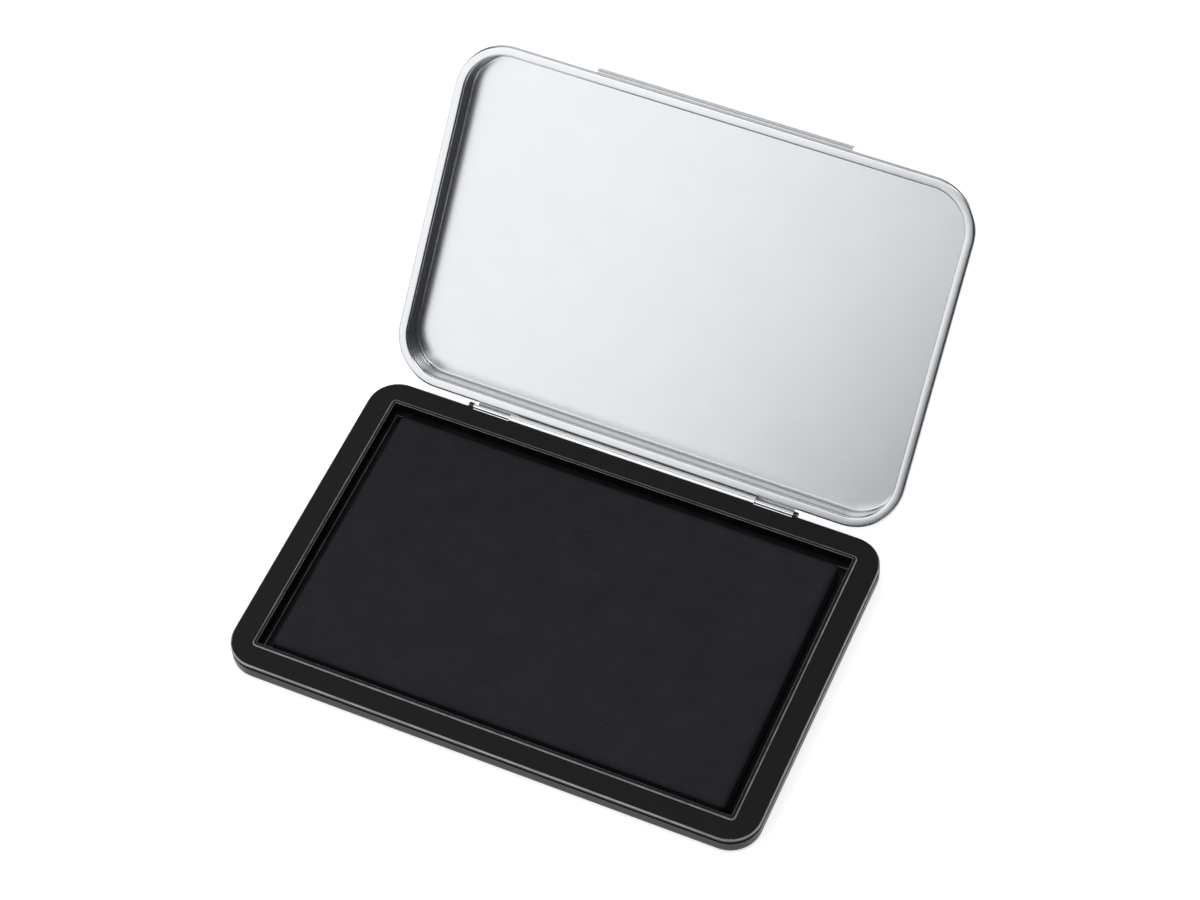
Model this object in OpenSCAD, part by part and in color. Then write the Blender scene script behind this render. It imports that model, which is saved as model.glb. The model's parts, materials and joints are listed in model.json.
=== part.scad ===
// Hinged-lid stamp pad: a shallow pressed pan with a moulded frame carries the
// inked pad, and a pressed tinplate lid turns on a wire at the back edge.
// Millimetres, +Z up, origin at the centre of the underside. The lid stands open.

/* [Case] */
// Width of the base, left to right
base_w = 138; // [110:1:170]
// Depth of the base, front to back
base_d = 90; // [75:1:120]
// Height of the base, from its underside to the top of the frame
base_h = 6.5; // [6.2:0.1:9]
// Corner radius of the base, seen from above
base_r = 8; // [6:0.5:12]

/* [Pan] */
// Thickness of the pan's sheet
pan_t = 0.5; // [0.4:0.1:0.6]
// Radius of the pan's bottom edge
pan_edge_r = 2.2; // [1.6:0.1:2.4]
// Shadow gap between the pan's rim and the frame
seam_gap = 0.8; // [0.2:0.1:1]

/* [Frame] */
// Thickness of the frame's flat top
frame_t = 1; // [0.9:0.1:2]
// Rounding of the frame's outer top edge
frame_edge_r = 0.5; // [0.3:0.1:0.8]
// Width of the frame beside the window
band_x = 6.2; // [5:0.1:9]
// Width of the frame in front of and behind the window
band_y = 5.7; // [5:0.1:9]
// Thickness of the skirt that locates the frame in the pan
skirt_t = 1; // [0.8:0.1:1.4]

/* [Ink tray and pad] */
// Thickness of the tray's wall and floor
tray_t = 0.6; // [0.5:0.1:0.8]
// Width of the rounded lip round the window
lip_w = 1; // [0.9:0.1:1.8]
// Height of the lip above the frame
lip_h = 0.4; // [0.3:0.05:0.4]
// Gap between the pad and the tray's wall, at the left and right
pad_gap_x = 2.4; // [1:0.1:3]
// Gap between the pad and the tray's wall, at the front and back
pad_gap_y = 1.7; // [1:0.1:3]
// Depth of the pad's surface below the top of the frame
pad_recess = 1.2; // [1:0.1:2.3]
// Thickness of the pad's cloth
cloth_t = 0.4; // [0.3:0.1:0.5]
// Width of the cloth's hem under the board
hem_w = 4; // [3:0.5:8]
// Thickness of the pad's stiff board
board_t = 0.6; // [0.4:0.1:0.8]

/* [Lid] */
// Thickness of the lid's sheet
lid_t = 0.4; // [0.3:0.1:0.5]
// Depth of the lid inside, from its rim to its panel
lid_depth = 6.2; // [6:0.1:12]
// Width of the rolled rim
rim_w = 2.8; // [2:0.1:3.4]
// Height of the rolled rim
rim_h = 1.4; // [1.3:0.1:1.6]
// Corner radius of the lid inside its rim
lid_r = 10.5; // [9:0.5:14]
// Inside radius between the lid's wall and its panel
panel_r = 1; // [0.8:0.1:3]
// Distance from the base's side to the lid's rim
lid_margin = 0.6; // [0.6:0.1:2]
// Gap between the closed lid's rim and the frame
closed_gap = 0.25; // [0.2:0.05:0.4]
// How far the lid stands open
open_deg = 131; // [90:1:134]

/* [Hinge and thumb lip] */
// Diameter of the hinge wire
wire_d = 1.2; // [1:0.1:1.4]
// Radial play between the wire and the curl that turns on it
play = 0.06; // [0.04:0.01:0.09]
// Thickness of the hinge strap and of the thumb lip
strap_t = 0.5; // [0.4:0.1:0.6]
// Length of the notch for the hinge in the back edge
notch_w = 87; // [70:1:96]
// Length of the curl round the wire
curl_w = 66.6; // [50:0.2:70]
// Length of the thumb lip
thumb_w = 67; // [40:1:90]
// How far the thumb lip stands out past the rolled rim
thumb_out = 0.8; // [0.4:0.1:2]
// Height of the thumb lip's turned-up edge
thumb_h = 2.2; // [1.5:0.1:4]

/* [Hidden] */

$fn = 96;
slip = 0.1;    // clearance between pieces that drop into each other
past = 1;      // how far a cutting shape runs past what it cuts

base = [base_w, base_d];
frame_z = base_h - frame_t;                      // underside of the frame's flat top
pan_rim_z = frame_z - seam_gap;                  // top of the pan's wall
skirt_z = pan_edge_r + 0.6;                      // lower edge of the frame's skirt
window = base - 2 * [band_x, band_y];            // hole in the frame
window_r = 1;                                    // its corner radius

tray = window - 2 * [slip, slip];                // outside of the tray's wall
tray_r = window_r - slip;
pad = tray - 2 * [tray_t + pad_gap_x, tray_t + pad_gap_y];
pad_r = 1.2;                                     // the pad's corner radius
pad_edge_r = 0.6;                                // rounding of the pad's top edge
pad_z = pan_t + tray_t;                          // the pad rests on the tray's floor
pad_top = base_h - pad_recess;
board_z = pad_z + cloth_t;                       // the board lies on the cloth's hem
felt_z = board_z + board_t;
felt_top = pad_top - cloth_t;
core = pad - 2 * [cloth_t, cloth_t];             // the board and the felt inside the cloth
core_r = pad_r - cloth_t;
core_edge_r = pad_edge_r - cloth_t;

curl_r = wire_d / 2 + play;                      // bore of the curl
curl_out_r = curl_r + strap_t;
axis_y = base_d / 2 + 0.6;                       // hinge axis, just behind the back edge
axis_z = base_h - 0.7;
notch_r = curl_out_r + 0.34;                     // scoop that the curl turns in
lug_w = 1.1;                                     // length of each lug that holds the wire
lug_r = 0.85;
lug_bore_r = wire_d / 2 + 0.02;
wire_end = 1;                                    // length of wire inside each lug

rim_z = base_h + closed_gap;                     // the closed lid's rim
rim_back_y = base_d / 2 - 0.3;                   // back of the rolled rim, lid closed
rim_front_y = -base_d / 2;                       // front of the rolled rim, lid closed
lid = [base_w - 2 * (lid_margin + rim_w), rim_back_y - rim_front_y - 2 * rim_w];
lid_y = (rim_back_y + rim_front_y) / 2;          // centre of the closed lid
wall_back_y = lid_y + lid.y / 2 + lid_t;         // outside of the lid's back wall
wall_front_y = lid_y - lid.y / 2 - lid_t;        // outside of the lid's front wall
strap_z = rim_z + rim_h + 0.05;                  // strap and thumb lip lie on the rolled rim
weld_h = 2.6;                                    // height of the strap's welded leg
strap_w = notch_w - 1;
bend_r = 0.9;                                    // outside radius of their bends

// A flat rounded rectangle of the given size and corner radius.
module rounded(size, r) {
    square([size.x - 2 * r, size.y], center = true);
    square([size.x, size.y - 2 * r], center = true);
    for (x = [-1, 1], y = [-1, 1])
        translate([x * (size.x / 2 - r), y * (size.y / 2 - r)]) circle(r);
}

// Sweeps a profile round a rounded rectangle. In the profile, x = 0 is the
// rectangle's outline, +x points outwards and +y becomes +Z.
module around(size, r) {
    for (k = [0:3]) {
        half = k % 2 == 0 ? size / 2 : [size.y, size.x] / 2;
        rotate([0, 0, 90 * k]) {
            translate([half.x, half.y - r, 0])
                rotate([90, 0, 0]) linear_extrude(2 * (half.y - r)) children();
            translate([half.x - r, half.y - r, 0])
                rotate_extrude(angle = 90) translate([r, 0]) children();
        }
    }
}

// A quarter of a ring, in the quadrant that dir names with its signs.
module quarter_ring(r_in, r_out, dir) {
    intersection() {
        difference() {
            circle(r_out);
            circle(r_in);
        }
        in_quadrant(dir) square(r_out + past);
    }
}

// Turns a shape drawn in the +x +y quadrant into the quadrant named by dir.
module in_quadrant(dir) {
    mirror([dir.x < 0 ? 1 : 0, 0]) mirror([0, dir.y < 0 ? 1 : 0]) children();
}

// A bar of section w by h whose four edges are rounded, with its corner at 0, 0.
module round_bar(w, h, r) {
    translate([w / 2, h / 2]) rounded([w, h], r);
}

// Draws a section with x = Y and y = Z, and extrudes it along X about the middle.
module along_x(length) {
    rotate([90, 0, 90]) linear_extrude(length, center = true) children();
}

// Places what is drawn with the lid closed at the lid's open position.
module opened() {
    translate([0, axis_y, axis_z]) rotate([-open_deg, 0, 0])
        translate([0, -axis_y, -axis_z]) children();
}

// The scoop in the back edge that leaves room for the curl.
module hinge_scoop() {
    translate([0, axis_y, axis_z]) along_x(notch_w) circle(notch_r);
}

module base_pan() {
    color([0.13, 0.13, 0.14]) difference() {
        union() {
            around(base, base_r) {
                translate([-pan_t, pan_edge_r]) square([pan_t, pan_rim_z - pan_edge_r]);
                translate([-pan_edge_r, pan_edge_r])
                    quarter_ring(pan_edge_r - pan_t, pan_edge_r, [1, -1]);
            }
            linear_extrude(pan_t)
                rounded(base - 2 * [pan_edge_r, pan_edge_r], base_r - pan_edge_r);
        }
        hinge_scoop();
    }
}

// One lug at an end of the notch, with a blind bore for the wire's end.
module wire_lug(side) {
    difference() {
        translate([side * (notch_w + lug_w) / 2, 0, 0]) {
            translate([0, axis_y, axis_z]) along_x(lug_w) circle(lug_r);
            translate([0, axis_y - 1, (frame_z + base_h) / 2])
                cube([lug_w, 2, frame_t], center = true);
        }
        translate([side * notch_w / 2, axis_y, axis_z])
            along_x(2 * (wire_end + slip)) circle(lug_bore_r);
    }
}

module top_frame() {
    skirt_out = pan_t + slip;
    color([0.12, 0.12, 0.13]) {
        difference() {
            union() {
                translate([0, 0, frame_z]) linear_extrude(frame_t)
                    rounded(base - 2 * [frame_edge_r, frame_edge_r], base_r - frame_edge_r);
                around(base, base_r) {
                    translate([-frame_edge_r, frame_z])
                        square([frame_edge_r, frame_t - frame_edge_r]);
                    translate([-frame_edge_r, base_h - frame_edge_r])
                        quarter_ring(0, frame_edge_r, [1, 1]);
                }
                around(base, base_r) translate([-skirt_out - skirt_t, skirt_z])
                    square([skirt_t, frame_z - skirt_z]);
            }
            translate([0, 0, frame_z - past]) linear_extrude(frame_t + 2 * past)
                rounded(window, window_r);
            hinge_scoop();
            for (side = [-1, 1]) translate([side * notch_w / 2, axis_y, axis_z])
                along_x(2 * (wire_end + slip)) circle(lug_bore_r);
        }
        for (side = [-1, 1]) wire_lug(side);
    }
}

module ink_tray() {
    color([0.14, 0.14, 0.15]) {
        around(tray, tray_r) {
            translate([-tray_t, pan_t]) square([tray_t, base_h - pan_t]);
            translate([lip_w - tray_t - slip - lip_h, base_h]) quarter_ring(0, lip_h, [1, 1]);
            translate([-tray_t - slip + lip_h, base_h]) {
                square([lip_w - 2 * lip_h, lip_h]);
                quarter_ring(0, lip_h, [-1, 1]);
            }
        }
        translate([0, 0, pan_t]) linear_extrude(tray_t)
            rounded(tray - 2 * [tray_t, tray_t], tray_r - tray_t);
    }
}

module pad_board() {
    color("tan") translate([0, 0, board_z]) linear_extrude(board_t) rounded(core, core_r);
}

// A flat block from z_low to z_high with rounded corners and a rounded top edge.
module padded_block(size, r, edge_r, z_low, z_high) {
    translate([0, 0, z_low]) linear_extrude(z_high - edge_r - z_low) rounded(size, r);
    translate([0, 0, z_high - edge_r]) {
        linear_extrude(edge_r) rounded(size - 2 * [edge_r, edge_r], r - edge_r);
        around(size, r) translate([-edge_r, 0]) quarter_ring(0, edge_r, [1, 1]);
    }
}

module ink_felt() {
    color([0.1, 0.1, 0.12]) padded_block(core, core_r, core_edge_r, felt_z, felt_top);
}

module pad_cloth() {
    color([0.13, 0.13, 0.16]) difference() {
        padded_block(pad, pad_r, pad_edge_r, pad_z, pad_top);
        padded_block(core, core_r, core_edge_r, board_z, felt_top);
        translate([0, 0, pad_z - past]) linear_extrude(cloth_t + past + board_t / 2)
            square(pad - 2 * [hem_w, hem_w], center = true);
    }
}

module hinge_wire() {
    color([0.8, 0.8, 0.82]) translate([-notch_w / 2 - wire_end, axis_y, axis_z])
        rotate([0, 90, 0]) cylinder(h = notch_w + 2 * wire_end, d = wire_d);
}

module lid_shell() {
    color([0.82, 0.83, 0.85]) opened() translate([0, lid_y, rim_z]) {
        around(lid, lid_r) {
            round_bar(rim_w, rim_h, 0.6);
            translate([0, rim_h / 2]) square([lid_t, lid_depth - panel_r - rim_h / 2]);
            translate([-panel_r, lid_depth - panel_r])
                quarter_ring(panel_r, panel_r + lid_t, [1, 1]);
        }
        translate([0, 0, lid_depth]) linear_extrude(lid_t)
            rounded(lid - 2 * [panel_r, panel_r], lid_r - panel_r);
    }
}

// The flat part of the strap: a leg welded to the lid's back wall and a leg that
// runs out over the rolled rim. Drawn from the hinge axis, lid closed.
module strap_flat_section() {
    wall = wall_back_y - axis_y;
    over = strap_z - axis_z;
    translate([wall, over + bend_r]) square([strap_t, weld_h]);
    translate([wall + bend_r, over + bend_r]) quarter_ring(bend_r - strap_t, bend_r, [-1, -1]);
    translate([wall + bend_r, over])
        square([curl_out_r - bend_r - (wall + bend_r), strap_t]);
}

// The part that drops to the wire and curls round it.
module strap_curl_section() {
    over = strap_z - axis_z;
    top = over + strap_t;
    translate([curl_out_r - bend_r, top - bend_r]) quarter_ring(bend_r - strap_t, bend_r, [1, 1]);
    difference() {
        union() {
            circle(curl_out_r);
            translate([curl_out_r - strap_t, 0]) square([strap_t, top - bend_r]);
        }
        circle(curl_r);
    }
}

module hinge_strap() {
    color([0.82, 0.83, 0.85]) opened() translate([0, axis_y, axis_z]) {
        along_x(strap_w) strap_flat_section();
        along_x(curl_w) strap_curl_section();
    }
}

module thumb_lip() {
    edge = rim_front_y - thumb_out;
    color([0.82, 0.83, 0.85]) opened() mirror([0, 1, 0]) along_x(thumb_w) {
        translate([-wall_front_y, strap_z + bend_r]) square([strap_t, weld_h - 0.5]);
        translate([-wall_front_y + bend_r, strap_z + bend_r])
            quarter_ring(bend_r - strap_t, bend_r, [-1, -1]);
        translate([-wall_front_y + bend_r, strap_z])
            square([-edge + wall_front_y - 2 * bend_r, strap_t]);
        translate([-edge - bend_r, strap_z + bend_r])
            quarter_ring(bend_r - strap_t, bend_r, [1, -1]);
        translate([-edge - strap_t, strap_z + bend_r]) square([strap_t, thumb_h - bend_r]);
    }
}

base_pan();
top_frame();
ink_tray();
pad_board();
ink_felt();
pad_cloth();
hinge_wire();
lid_shell();
hinge_strap();
thumb_lip();
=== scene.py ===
# %% [markdown]
# # A stamp pad in a hinged tin
# A flat pressed pan carries a moulded frame. A tray hangs in the frame's
# window and holds an inked pad, and a tinplate lid swings on a wire behind it.
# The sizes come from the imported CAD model, which loads as a fixed frame: its
# parts are never moved. Finer pieces are built in its place where they help.

# %% Load the frame
import json
import math

import bmesh
import bpy
from mathutils import Matrix, Vector


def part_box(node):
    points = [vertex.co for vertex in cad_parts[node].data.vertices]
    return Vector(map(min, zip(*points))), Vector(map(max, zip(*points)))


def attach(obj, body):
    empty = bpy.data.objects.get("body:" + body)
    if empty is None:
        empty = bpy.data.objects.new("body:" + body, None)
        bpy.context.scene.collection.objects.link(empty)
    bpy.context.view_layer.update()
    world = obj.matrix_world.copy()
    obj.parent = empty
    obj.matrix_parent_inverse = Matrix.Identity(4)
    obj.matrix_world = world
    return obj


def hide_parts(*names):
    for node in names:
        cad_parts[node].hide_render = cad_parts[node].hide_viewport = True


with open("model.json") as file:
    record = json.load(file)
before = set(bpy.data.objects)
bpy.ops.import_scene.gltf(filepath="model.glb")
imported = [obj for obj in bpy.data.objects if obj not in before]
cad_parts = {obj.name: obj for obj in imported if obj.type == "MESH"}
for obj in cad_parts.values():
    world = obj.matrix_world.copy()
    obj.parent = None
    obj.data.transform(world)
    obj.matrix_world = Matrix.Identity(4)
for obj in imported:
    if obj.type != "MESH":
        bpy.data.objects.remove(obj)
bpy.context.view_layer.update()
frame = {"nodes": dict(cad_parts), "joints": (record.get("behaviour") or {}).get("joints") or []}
nodes = frame["nodes"]
MM = 0.001

# %% [markdown]
# ## Camera
# A flat object like this is best seen from well above and a little to the
# right, through a long lens, so that its edges stay almost parallel. Giving the
# camera an aim point, two angles and a distance is easier to read and to change
# than a location and a rotation, and the small roll is added last.

# %% Camera
LENS = 101.6
AIM = Vector((-3.9, 36.4, 20)) * MM
DISTANCE = 829 * MM
AZIMUTH, ELEVATION, ROLL = (math.radians(a) for a in (27.1, 54.9, -3.97))

towards_camera = Vector((
    math.sin(AZIMUTH) * math.cos(ELEVATION),
    -math.cos(AZIMUTH) * math.cos(ELEVATION),
    math.sin(ELEVATION),
))
camera = bpy.data.objects.new("camera", bpy.data.cameras.new("camera"))
bpy.context.scene.collection.objects.link(camera)
camera.data.lens = LENS
camera.data.clip_start, camera.data.clip_end = 10 * MM, 20
camera.location = AIM + towards_camera * DISTANCE
camera.rotation_mode = "QUATERNION"
level = (-towards_camera).to_track_quat("-Z", "Y")
camera.rotation_quaternion = level @ Matrix.Rotation(ROLL, 3, "Z").to_quaternion()
bpy.context.scene.camera = camera
print("camera at", [round(c / MM) for c in camera.location], "mm")

# %% [markdown]
# ## Floor and light
# The object stands on a plain white sweep. Satin metal shows whatever is
# around it, so the light is a few large soft boxes in a dim grey room: the box
# in front fills the lid with a smooth gradient, and what is left dark between
# the boxes gives the lid's walls and edges their dark lines. The helpers come
# first, because every finish below uses two of them.

# %% Helpers for the stage and the finishes
def linear(colour):
    """Turns an sRGB hex colour such as "#1a2b3c" into the linear RGBA that nodes use."""
    channels = [int(colour[i:i + 2], 16) / 255 for i in (1, 3, 5)]
    return (*[c / 12.92 if c <= 0.04045 else ((c + 0.055) / 1.055) ** 2.4
              for c in channels], 1)


def add_node(tree, kind, inputs=(), **settings):
    """Adds one node. inputs maps its sockets to values or to other nodes' outputs."""
    made = tree.nodes.new(kind)
    for name, value in settings.items():
        setattr(made, name, value)
    for socket, value in dict(inputs).items():
        if isinstance(value, bpy.types.NodeSocket):
            tree.links.new(value, made.inputs[socket])
        else:
            made.inputs[socket].default_value = value
    return made


def new_material(name):
    """A material, its node tree and its Principled shader."""
    made = bpy.data.materials.new(name)
    made.use_nodes = True
    return made, made.node_tree, made.node_tree.nodes["Principled BSDF"]


def softbox(name, place, size, watts, aim=(0, 30, 20)):
    """A rectangular soft light of a size in mm, at a place in mm, facing the aim point."""
    data = bpy.data.lights.new(name, "AREA")
    data.shape = "RECTANGLE"
    data.size, data.size_y = size[0] * MM, size[1] * MM
    data.energy = watts
    lamp = bpy.data.objects.new(name, data)
    bpy.context.scene.collection.objects.link(lamp)
    lamp.location = Vector(place) * MM
    lamp.rotation_euler = (Vector(aim) - Vector(place)).to_track_quat("-Z", "Y").to_euler()
    lamp.visible_camera = False
    return lamp


def stage_piece(shape, name):
    """Makes a studio object of a bmesh: it belongs to the stage, not to the stamp pad."""
    made = bpy.data.objects.new(name, bpy.data.meshes.new(name))
    shape.to_mesh(made.data)
    shape.free()
    bpy.context.scene.collection.objects.link(made)
    return made


# %% [markdown]
# ### Paper sweep
# The paper is matt and gives a little light of its own, which keeps it an even
# white up to the object's edges without a lamp that the metal would mirror.

# %% Paper sweep
FLOOR_DROP = 0.05          # mm, keeps the floor clear of the underside
PAPER_GLOW = 0.65

floor_shape = bmesh.new()
bmesh.ops.create_circle(floor_shape, cap_ends=True, segments=96, radius=6)
bmesh.ops.translate(floor_shape, vec=(0, 0, -FLOOR_DROP * MM), verts=floor_shape.verts)
floor = stage_piece(floor_shape, "floor")

paper, _, paper_surface = new_material("white paper sweep")
paper_surface.inputs["Base Color"].default_value = linear("#f4f4f4")
paper_surface.inputs["Roughness"].default_value = 0.9
paper_surface.inputs["Specular IOR Level"].default_value = 0
paper_surface.inputs["Emission Color"].default_value = linear("#ffffff")
paper_surface.inputs["Emission Strength"].default_value = PAPER_GLOW
floor.data.materials.append(paper)
print("floor", round(2 * max(v.co.x for v in floor.data.vertices), 1), "m across")

# %% [markdown]
# ### Black card
# In a studio one side of a metal edge is darkened by standing a black card where
# that side mirrors it. This one stands to the right of the front softbox, and
# it is what the lid's left wall shows.

# %% Black card
CARD_SIZE = (620, 460)     # mm
CARD_PLACE = (430, -330, 231)
CARD_TURN = -38            # degrees

card_shape = bmesh.new()
bmesh.ops.create_grid(card_shape, x_segments=1, y_segments=1, size=0.5)
bmesh.ops.scale(card_shape, vec=(CARD_SIZE[0] * MM, CARD_SIZE[1] * MM, 1),
                verts=card_shape.verts)
bmesh.ops.rotate(card_shape, matrix=Matrix.Rotation(math.radians(90), 3, "X"),
                 verts=card_shape.verts)
bmesh.ops.rotate(card_shape, matrix=Matrix.Rotation(math.radians(90 + CARD_TURN), 3, "Z"),
                 verts=card_shape.verts)
bmesh.ops.translate(card_shape, vec=Vector(CARD_PLACE) * MM, verts=card_shape.verts)
card = stage_piece(card_shape, "black card")
card.visible_camera = False
card.visible_shadow = False

black_card, _, card_surface = new_material("black card")
card_surface.inputs["Base Color"].default_value = linear("#0a0a0a")
card_surface.inputs["Roughness"].default_value = 0.95
card.data.materials.append(black_card)
print("black card", CARD_SIZE, "mm")

# %% [markdown]
# ### Soft boxes
# Each box is a place, a size and a power. Large boxes near the object give
# smooth gradients, and a box's brightness is its power over its area, so a
# larger box of the same power looks dimmer in the metal.

# %% Soft boxes
ROOM_LIGHT = 0.05

world = bpy.data.worlds.new("dim grey room")
bpy.context.scene.world = world
world.use_nodes = True
background = world.node_tree.nodes["Background"]
background.inputs["Color"].default_value = linear("#ffffff")
background.inputs["Strength"].default_value = ROOM_LIGHT

softbox("front softbox", (-550, -670, 474), (980, 690), 3.2)
softbox("overhead strip", (250, -150, 1100), (420, 300), 2.0)
softbox("side softbox", (900, 560, 330), (300, 500), 2.4)
softbox("white wall behind", (-100, 1150, 330), (2000, 620), 3.6)
softbox("ceiling fill", (-460, 480, 1050), (1000, 1000), 3.0)
softbox("upper front fill", (-286, -561, 902), (620, 340), 1.4)
softbox("left fill", (-1150, -60, 340), (900, 600), 2.0)
bpy.context.scene.view_settings.view_transform = "Standard"
print("soft boxes:", len(bpy.data.lights))

# %% [markdown]
# ## Tinplate
# The lid is rolled steel sheet with a thin coat of tin. The rolls leave a fine
# grain along the sheet, which blurs reflections into a satin, and pressing
# leaves it very slightly wavy. Tin mirrors about six tenths of the light, which
# is a light grey. The grain could be a painted texture; noise stretched along X
# gives it at any distance and at its real size.

# %% Tinplate
ROLL_GRAIN = 0.30          # mm between the grain's lines, drawn a little coarse
ROLL_RUN = 14              # mm that one line of grain runs
SHEET_WAVE = 26            # mm between the shallow waves of the pressed sheet
WAVE_DEPTH = 0.012         # mm
CLOUD = 9                  # mm across the faint clouds in the tin's tone


def tinplate_finish(name, light_hex, dark_hex, roughness, grain_depth):
    """Tin-coated steel sheet: a mirror metal blurred by rolling grain."""
    made, tree, surface = new_material(name)
    place = add_node(tree, "ShaderNodeTexCoord").outputs["Object"]
    along = add_node(tree, "ShaderNodeMapping", {
        "Vector": place, "Scale": (ROLL_GRAIN / ROLL_RUN, 1, 1)})
    grain = add_node(tree, "ShaderNodeTexNoise", {
        "Vector": along.outputs["Vector"], "Scale": 1 / (ROLL_GRAIN * MM),
        "Detail": 3, "Roughness": 0.6})
    waves = add_node(tree, "ShaderNodeTexNoise", {
        "Vector": place, "Scale": 1 / (SHEET_WAVE * MM), "Detail": 1})
    cloud = add_node(tree, "ShaderNodeTexNoise", {
        "Vector": place, "Scale": 1 / (CLOUD * MM), "Detail": 4, "Roughness": 0.55})
    tone = add_node(tree, "ShaderNodeMix", {
        "Factor": cloud.outputs["Fac"], 6: linear(dark_hex), 7: linear(light_hex)},
        data_type="RGBA")
    haze = add_node(tree, "ShaderNodeMapRange", {
        "Value": grain.outputs["Fac"], "From Min": 0.3, "From Max": 0.7,
        "To Min": roughness - 0.008, "To Max": roughness + 0.01})
    scored = add_node(tree, "ShaderNodeBump", {
        "Height": grain.outputs["Fac"], "Distance": grain_depth * MM, "Strength": 1})
    dished = add_node(tree, "ShaderNodeBump", {
        "Height": waves.outputs["Fac"], "Distance": WAVE_DEPTH * MM, "Strength": 1,
        "Normal": scored.outputs["Normal"]})
    surface.inputs["Metallic"].default_value = 1
    tree.links.new(tone.outputs[2], surface.inputs["Base Color"])
    tree.links.new(haze.outputs["Result"], surface.inputs["Roughness"])
    tree.links.new(dished.outputs["Normal"], surface.inputs["Normal"])
    return made


tinplate = tinplate_finish("satin tinplate", "#cdcfd2", "#c8cacd", 0.26, 0.00012)
# The hinge strip is the same tinplate as the lid, painted much lighter than tin mirrors: a
# painted highlight that makes its curl read white.
strap_tin_painted_lighter = tinplate_finish("tinplate strip painted lighter", "#f4f5f7", "#eceef0", 0.28, 0.0006)
wire_steel = tinplate_finish("nickelled steel wire", "#f0f0f2", "#dfe1e4", 0.22, 0.001)

# %% [markdown]
# ## Black plastic and black lacquer
# The frame is ABS, moulded against a fine spark-eroded texture, so it is a
# satin black with a faint grain. The pan and tray are tin with stoved lacquer,
# which is smoother and flows into a slight orange peel.

# %% Black finishes
COAT_SPECULAR = 0.22       # a handled, slightly chalky black mirrors less than a new one
PAINTED_EDGE_FROM, PAINTED_EDGE_TO = 0.97, 0.8    # the upward share of the normal where the painted edge highlight starts


def black_finish(name, base_hex, worn_hex, ior, roughness, grain, depth, peel, painted_edge_highlight=None):
    """A black coat or moulding: fine grain, wider peel, handling haze, and a painted highlight
    on its rounded top edges when a highlight colour is given.
    """
    made, tree, surface = new_material(name)
    place = add_node(tree, "ShaderNodeTexCoord").outputs["Object"]
    fine = add_node(tree, "ShaderNodeTexNoise", {
        "Vector": place, "Scale": 1 / (grain * MM), "Detail": 2})
    wide = add_node(tree, "ShaderNodeTexNoise", {
        "Vector": place, "Scale": 1 / (peel * MM), "Detail": 3, "Roughness": 0.6})
    tone = add_node(tree, "ShaderNodeMix", {
        "Factor": wide.outputs["Fac"], 6: linear(base_hex), 7: linear(worn_hex)},
        data_type="RGBA")
    haze = add_node(tree, "ShaderNodeMapRange", {
        "Value": wide.outputs["Fac"], "From Min": 0.3, "From Max": 0.7,
        "To Min": roughness - 0.04, "To Max": roughness + 0.05})
    relief = add_node(tree, "ShaderNodeBump", {
        "Height": fine.outputs["Fac"], "Distance": depth * MM, "Strength": 1})
    surface.inputs["IOR"].default_value = ior
    surface.inputs["Specular IOR Level"].default_value = COAT_SPECULAR
    colour = tone.outputs[2]
    # Painted highlight: a light grey mixed into the rounded top edges, where their mirror lines
    # would be, broken into patches by noise.
    if painted_edge_highlight:
        facing = add_node(tree, "ShaderNodeSeparateXYZ", {
            "Vector": add_node(tree, "ShaderNodeNewGeometry").outputs["Normal"]})
        edge = add_node(tree, "ShaderNodeMapRange", {
            "Value": facing.outputs["Z"], "From Min": PAINTED_EDGE_FROM, "From Max": PAINTED_EDGE_TO,
            "To Min": 0, "To Max": 1})
        turned = add_node(tree, "ShaderNodeMapRange", {
            "Value": facing.outputs["Z"], "From Min": 0.05, "From Max": 0.35,
            "To Min": 0, "To Max": 1})
        patchy = add_node(tree, "ShaderNodeMapRange", {
            "Value": wide.outputs["Fac"], "From Min": 0.3, "From Max": 0.6,
            "To Min": 0.55, "To Max": 1})
        band = add_node(tree, "ShaderNodeMath", {
            0: edge.outputs["Result"], 1: turned.outputs["Result"]}, operation="MULTIPLY")
        share = add_node(tree, "ShaderNodeMath", {
            0: band.outputs["Value"], 1: patchy.outputs["Result"]}, operation="MULTIPLY")
        edge_highlight_mix = add_node(tree, "ShaderNodeMix", {
            "Factor": share.outputs["Value"], 6: colour, 7: linear(painted_edge_highlight)},
            data_type="RGBA")
        colour = edge_highlight_mix.outputs[2]
    tree.links.new(colour, surface.inputs["Base Color"])
    tree.links.new(haze.outputs["Result"], surface.inputs["Roughness"])
    tree.links.new(relief.outputs["Normal"], surface.inputs["Normal"])
    return made


# The last colour given to the frame and the tray is their painted edge highlight.
frame_abs = black_finish("moulded black ABS", "#0d0d0f", "#131315", 1.45, 0.40, 0.22, 0.010, 7,
                         "#b4b4b8")
pan_lacquer = black_finish("stoved black lacquer on tin", "#1a1a1c", "#222224", 1.5, 0.34,
                           0.6, 0.006, 5)
tray_lacquer = black_finish("stoved black lacquer, tray", "#0c0c0e", "#111113", 1.5, 0.36,
                            0.6, 0.006, 5, "#b4b4b8")

# %% [markdown]
# ## Inked cotton
# The pad is felt under a cotton cover, soaked with black ink. The ink fills
# the weave, so only a faint mesh and a soft mottle are left, with a few light
# specks of lint. Two crossed waves make the over and under of the threads.

# %% Inked cotton and the layers inside
THREAD = 0.55              # mm between threads, drawn about twice as coarse as real
THREAD_RISE = 0.03         # mm
MOTTLE = 7                 # mm across the patches where the ink lies thicker
LINT_APART = 2.6           # mm between specks of lint


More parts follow.
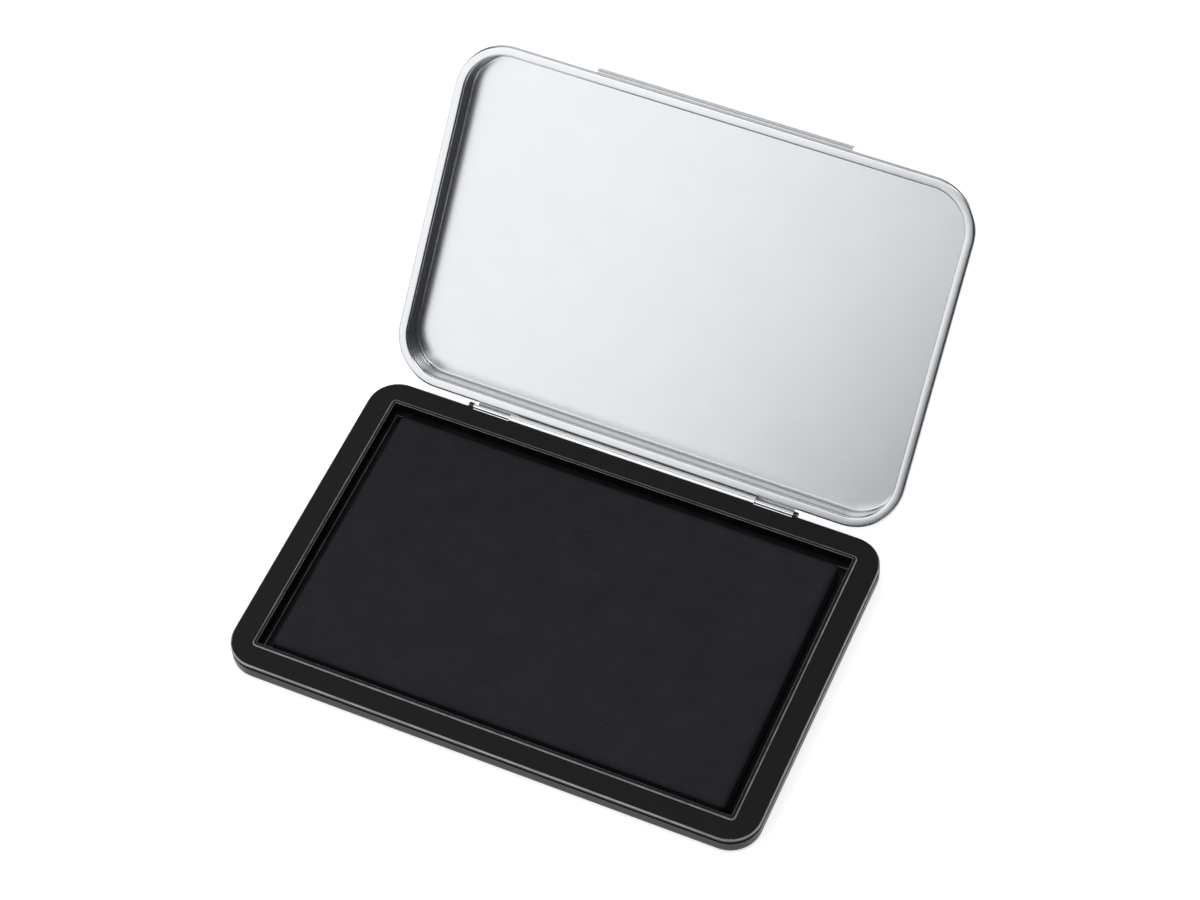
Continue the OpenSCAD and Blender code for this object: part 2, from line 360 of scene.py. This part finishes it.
def inked_cotton():
    """Cotton soaked in ink: a crossed-thread bump, a mottle and specks of lint."""
    made, tree, surface = new_material("ink-soaked woven cotton")
    place = add_node(tree, "ShaderNodeTexCoord").outputs["Object"]
    wobble = add_node(tree, "ShaderNodeTexNoise", {
        "Vector": place, "Scale": 1 / (3 * MM), "Detail": 2})
    wave_scale = 2 * math.pi / (20 * THREAD * MM)
    warp, weft = (add_node(tree, "ShaderNodeTexWave", {
        "Vector": place, "Scale": wave_scale, "Distortion": 1.2, "Detail": 1,
        "Detail Scale": 0.6}, wave_type="BANDS", bands_direction=axis)
        for axis in ("X", "Y"))
    weave = add_node(tree, "ShaderNodeMath", {
        0: warp.outputs["Fac"], 1: weft.outputs["Fac"]}, operation="MAXIMUM")
    mottle = add_node(tree, "ShaderNodeTexNoise", {
        "Vector": place, "Scale": 1 / (MOTTLE * MM), "Detail": 5, "Roughness": 0.62})
    tone = add_node(tree, "ShaderNodeMix", {
        "Factor": mottle.outputs["Fac"], 6: linear("#28282b"), 7: linear("#35343b")},
        data_type="RGBA")
    lint = add_node(tree, "ShaderNodeTexVoronoi", {
        "Vector": place, "Scale": 1 / (LINT_APART * MM)}, feature="F1")
    speck = add_node(tree, "ShaderNodeMapRange", {
        "Value": lint.outputs["Distance"], "From Min": 0.03, "From Max": 0.07,
        "To Min": 1, "To Max": 0})
    patch = add_node(tree, "ShaderNodeMapRange", {
        "Value": wobble.outputs["Fac"], "From Min": 0.52, "From Max": 0.62,
        "To Min": 0, "To Max": 0.5})
    share = add_node(tree, "ShaderNodeMath", {
        0: speck.outputs["Result"], 1: patch.outputs["Result"]}, operation="MULTIPLY")
    flecked = add_node(tree, "ShaderNodeMix", {
        "Factor": share.outputs["Value"], 6: tone.outputs[2], 7: linear("#6c6a72")},
        data_type="RGBA")
    threads = add_node(tree, "ShaderNodeBump", {
        "Height": weave.outputs["Value"], "Distance": THREAD_RISE * MM, "Strength": 0.8})
    surface.inputs["Roughness"].default_value = 0.82
    surface.inputs["IOR"].default_value = 1.4
    surface.inputs["Specular IOR Level"].default_value = 0.06
    surface.inputs["Sheen Weight"].default_value = 0.02
    surface.inputs["Sheen Roughness"].default_value = 0.5
    tree.links.new(flecked.outputs[2], surface.inputs["Base Color"])
    tree.links.new(threads.outputs["Normal"], surface.inputs["Normal"])
    return made


inked_cloth = inked_cotton()
wool_felt = black_finish("ink-soaked wool felt", "#141417", "#202024", 1.4, 0.9, 0.5, 0.15, 3)
grey_board = black_finish("pressed grey board", "#8d867a", "#a39b8d", 1.45, 0.88, 0.4, 0.03, 2)

# %% [markdown]
# ## Finishes for the CAD parts that stay
# Where a CAD part already has the right shape it stays and only gets its
# finish. Its mesh carries smooth normals from the solid, so nothing else is
# needed.

# %% Finishes for the CAD parts
FINISH = {
    "base_pan": pan_lacquer, "top_frame": frame_abs,
    "pad_board": grey_board, "ink_felt": wool_felt, "hinge_wire": wire_steel,
    "hinge_strap": strap_tin_painted_lighter, "thumb_lip": tinplate,
}
for name, finish in FINISH.items():
    nodes[name].data.materials.clear()
    nodes[name].data.materials.append(finish)
print("finished", len(FINISH), "CAD parts")

# %% [markdown]
# ## Lid
# The lid is drawn from one sheet: a flat panel, a deep wall, and an edge rolled
# outwards into a bead. One way is a swept profile; here one rounded rectangle
# is grown step by step with inset, each step going out and up along the
# section, because inset keeps the corners round and the wall an even width.

# %% Helpers for pressed sheet
CORNER_STEPS = 20


def rounded_face(size, radius, height):
    """A bmesh that holds one face: a rounded rectangle, sizes in mm, facing up."""
    shape = bmesh.new()
    bmesh.ops.create_grid(shape, x_segments=1, y_segments=1, size=0.5)
    bmesh.ops.scale(shape, vec=(size[0] * MM, size[1] * MM, 1), verts=shape.verts)
    bmesh.ops.bevel(shape, geom=list(shape.verts), offset=radius * MM,
                    offset_type="OFFSET", segments=CORNER_STEPS, profile=0.5,
                    affect="VERTICES", material=-1)
    bmesh.ops.translate(shape, vec=(0, 0, height * MM), verts=shape.verts)
    shape.faces.ensure_lookup_table()
    return shape, shape.faces[0]


def arc(radius, start, end, steps):
    """The (out, up) moves in mm that go round an arc between two angles in degrees."""
    turn = [math.radians(start + (end - start) * k / steps) for k in range(steps + 1)]
    points = [(radius * math.cos(a), radius * math.sin(a)) for a in turn]
    return [(b[0] - a[0], b[1] - a[1]) for a, b in zip(points, points[1:])]


def grow(shape, face, moves):
    """Moves a face's outline by each (out, up) step, leaving a band of faces behind."""
    for out, up in moves:
        bmesh.ops.inset_individual(shape, faces=[face], thickness=-out * MM,
                                   depth=up * MM, use_even_offset=True)


def dish(shape, face, rise, shares=(0.97, 0.85, 0.65, 0.4, 0.15)):
    """Rings a flat panel and lifts its middle by rise in mm, as a pressed sheet springs."""
    middle, before, lifted = face.calc_center_median(), 1, 0
    for share in shares:
        target = rise * (1 - share ** 2)
        bmesh.ops.inset_individual(shape, faces=[face], thickness=0,
                                   depth=(target - lifted) * MM)
        bmesh.ops.scale(shape, vec=(share / before,) * 2 + (1,), verts=face.verts,
                        space=Matrix.Translation(-middle))
        before, lifted = share, target


def finish_piece(shape, name, body, finish, replaced=(), sharp=30):
    """Makes an object of a bmesh, smooth but for edges sharper than sharp degrees."""
    made = bpy.data.objects.new(name, bpy.data.meshes.new(name))
    shape.to_mesh(made.data)
    shape.free()
    bpy.context.scene.collection.objects.link(made)
    made.data.materials.append(finish)
    made.data.shade_smooth()
    made.data.set_sharp_from_angle(angle=math.radians(sharp))
    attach(made, body)
    if replaced:
        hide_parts(*replaced)
    print(name, len(made.data.polygons), "faces")
    return made


# %% Lid
hinge_low, hinge_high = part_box("hinge_wire")
axis = (hinge_low + hinge_high) / 2
OPEN_DEG = frame["joints"][0]["range_deg"][1]
LID = (131.2, 84.1)        # inside of the rim
LID_R = 10.5
LID_DEPTH, SHEET = 6.2, 0.4
PANEL_R = 0.45             # inside radius between wall and panel
RIM_Z = 6.75               # rim of the closed lid
LID_Y = -0.15              # middle of the closed lid
BEAD_R, BEAD_W = 0.7, 2.8
SUPPORT = 0.3              # width of the flat ring that keeps the panel flat
HEM_R = 0.2                # bend where the rolled edge meets the wall outside
SPRING = 0.12              # how far the middle of the panel springs out

inner = 2 * (PANEL_R + SUPPORT)
lid_shape, cap = rounded_face((LID[0] - inner, LID[1] - inner), LID_R - inner / 2,
                              RIM_Z + LID_DEPTH)
grow(lid_shape, cap, [
    (SUPPORT, 0), *arc(PANEL_R, 90, 0, 10),
    *[(0, -(LID_DEPTH - PANEL_R - BEAD_R) / 4)] * 4,
    *arc(BEAD_R, 180, 270, 7), (BEAD_W - 2 * BEAD_R, 0), *arc(BEAD_R, 270, 450, 14),
    (-(BEAD_W - BEAD_R - SHEET - HEM_R), 0), *arc(HEM_R, 270, 180, 4),
    *[(0, (LID_DEPTH - PANEL_R - 2 * BEAD_R - HEM_R) / 4)] * 4,
    *arc(PANEL_R + SHEET, 0, 90, 10), (-SUPPORT, 0)])
dish(lid_shape, cap, SPRING)
hole = [e for e in lid_shape.edges if e.is_boundary]
panel = bmesh.ops.contextual_create(lid_shape, geom=hole)["faces"][0]
panel.normal_update()
dish(lid_shape, panel, math.copysign(SPRING, panel.normal.z))
bmesh.ops.recalc_face_normals(lid_shape, faces=lid_shape.faces)
bmesh.ops.translate(lid_shape, vec=(0, LID_Y * MM, 0), verts=lid_shape.verts)
bmesh.ops.rotate(lid_shape, cent=axis, matrix=Matrix.Rotation(-math.radians(OPEN_DEG), 3, "X"),
                 verts=lid_shape.verts)
finish_piece(lid_shape, "pressed_lid", "lid", tinplate, ["lid_shell"], 40)

# %% [markdown]
# ## Ink tray
# The tray is a shallow box whose edge turns out over the frame in a low
# lip, round on its outer side and nearly sharp on its inner one. It grows from
# its floor in the same way as the lid: up the wall, out over the lip, and back
# down the outside.

# %% Ink tray
TRAY = (125.4, 78.4)       # outside of the wall
TRAY_R, TRAY_WALL = 0.9, 0.6
TRAY_Z, FRAME_TOP = 0.5, 6.5
LIP_OVER, LIP_H, LIP_EDGE = 0.1, 0.4, 0.1
LIP_OUT = 0.3              # how far the lip reaches past the wall's outside
FILLET = 0.2

shrink = 2 * (TRAY_WALL + FILLET)
tray_shape, cap = rounded_face((TRAY[0] - shrink, TRAY[1] - shrink), TRAY_R - shrink / 2,
                               TRAY_Z + TRAY_WALL)
wall_top = FRAME_TOP - TRAY_Z - TRAY_WALL - FILLET
lip_across = TRAY_WALL + LIP_OUT + LIP_OVER - LIP_EDGE
lip_crown = [(out * lip_across, up * LIP_H) for out, up in arc(1, 90, 0, 9)]
grow(tray_shape, cap, [
    *arc(FILLET, 270, 360, 4), (0, wall_top), (-LIP_OVER, LIP_OVER),
    (0, LIP_H - LIP_OVER - LIP_EDGE),
    *arc(LIP_EDGE, 180, 90, 3), *lip_crown, (-LIP_OUT, 0),
    (0, -(FRAME_TOP - TRAY_Z - FILLET)), *arc(FILLET, 360, 270, 4)])
hole = [e for e in tray_shape.edges if e.is_boundary]
bmesh.ops.contextual_create(tray_shape, geom=hole)
bmesh.ops.recalc_face_normals(tray_shape, faces=tray_shape.faces)
finish_piece(tray_shape, "turned_edge_tray", "base", tray_lacquer,
             ["ink_tray"], 35)

# %% [markdown]
# ## Inked pad
# The pad is a felt block on a stiff board inside a cotton cover, so its edges
# are soft and a little wavy. The cover is a closed block, remeshed evenly and
# blown up very slightly as cloth while its lower edge is held, which rounds it
# the way stretched cotton does.

# %% Inked pad
PAD_IN = 0.15              # mm that the cover starts inside its finished size
PAD_CAP = 0.2              # mm that a point of the cover may move
VOXEL = 0.65               # mm between points of the remeshed cover
BLOW = 10                  # the cover is simulated this many times larger
PRESSURE, SIM_FRAMES = 2, 16
PAD_LOW_R, PAD_TOP_R = 0.6, 0.5       # mm, roundings of its lower and upper edges
HELD = 1.0                 # mm of its height that is held while it is blown up

pad_low, pad_high = (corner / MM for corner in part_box("pad_cloth"))
pad_size = pad_high - pad_low
inset = 2 * (PAD_IN + PAD_LOW_R)
pad_shape, top = rounded_face((pad_size.x - inset, pad_size.y - inset), 1.0, pad_low.z)
grow(pad_shape, top, [
    *arc(PAD_LOW_R, 270, 360, 4), (0, pad_size.z - PAD_LOW_R - PAD_TOP_R - PAD_IN),
    *arc(PAD_TOP_R, 0, 90, 5)])
bmesh.ops.contextual_create(pad_shape, geom=[e for e in pad_shape.edges if e.is_boundary])
bmesh.ops.recalc_face_normals(pad_shape, faces=pad_shape.faces)
pad = finish_piece(pad_shape, "ink_pad_cover", "base", inked_cloth,
                   ["pad_cloth"], 60)


def apply_modifiers(piece):
    """Puts what a piece's modifiers make into its mesh, and removes them."""
    view = bpy.context.evaluated_depsgraph_get()
    mesh = bpy.data.meshes.new_from_object(piece.evaluated_get(view))
    piece.modifiers.clear()
    piece.data = mesh


def blow_up(piece):
    """Simulates the cover as cloth under a light pressure, with its lower edge held."""
    even = piece.modifiers.new("even mesh", "REMESH")
    even.mode, even.voxel_size = "VOXEL", VOXEL * MM
    even.use_smooth_shade = True
    apply_modifiers(piece)
    start = [v.co.copy() for v in piece.data.vertices]
    piece.data.transform(Matrix.Scale(BLOW, 4))
    held = piece.vertex_groups.new(name="held")
    low = (pad_low.z + HELD) * MM * BLOW
    held.add([v.index for v in piece.data.vertices if v.co.z < low], 1, "REPLACE")
    cloth = piece.modifiers.new("cover", "CLOTH")
    cloth.settings.effector_weights.gravity = 0
    cloth.settings.use_pressure = True
    cloth.settings.uniform_pressure_force = PRESSURE
    cloth.settings.vertex_group_mass = "held"
    cloth.settings.quality = 5
    for number in range(1, SIM_FRAMES + 1):
        bpy.context.scene.frame_set(number)
    apply_modifiers(piece)
    bpy.context.scene.frame_set(1)
    piece.vertex_groups.clear()
    moved = 0
    for vertex, rest in zip(piece.data.vertices, start):
        shift = vertex.co / BLOW - rest
        if shift.length > PAD_CAP * MM:
            shift.length = PAD_CAP * MM
        vertex.co = rest + shift
        moved = max(moved, shift.length)
    piece.data.shade_smooth()
    print("cover:", len(start), "points, moved up to", round(moved / MM, 2), "mm")


blow_up(pad)
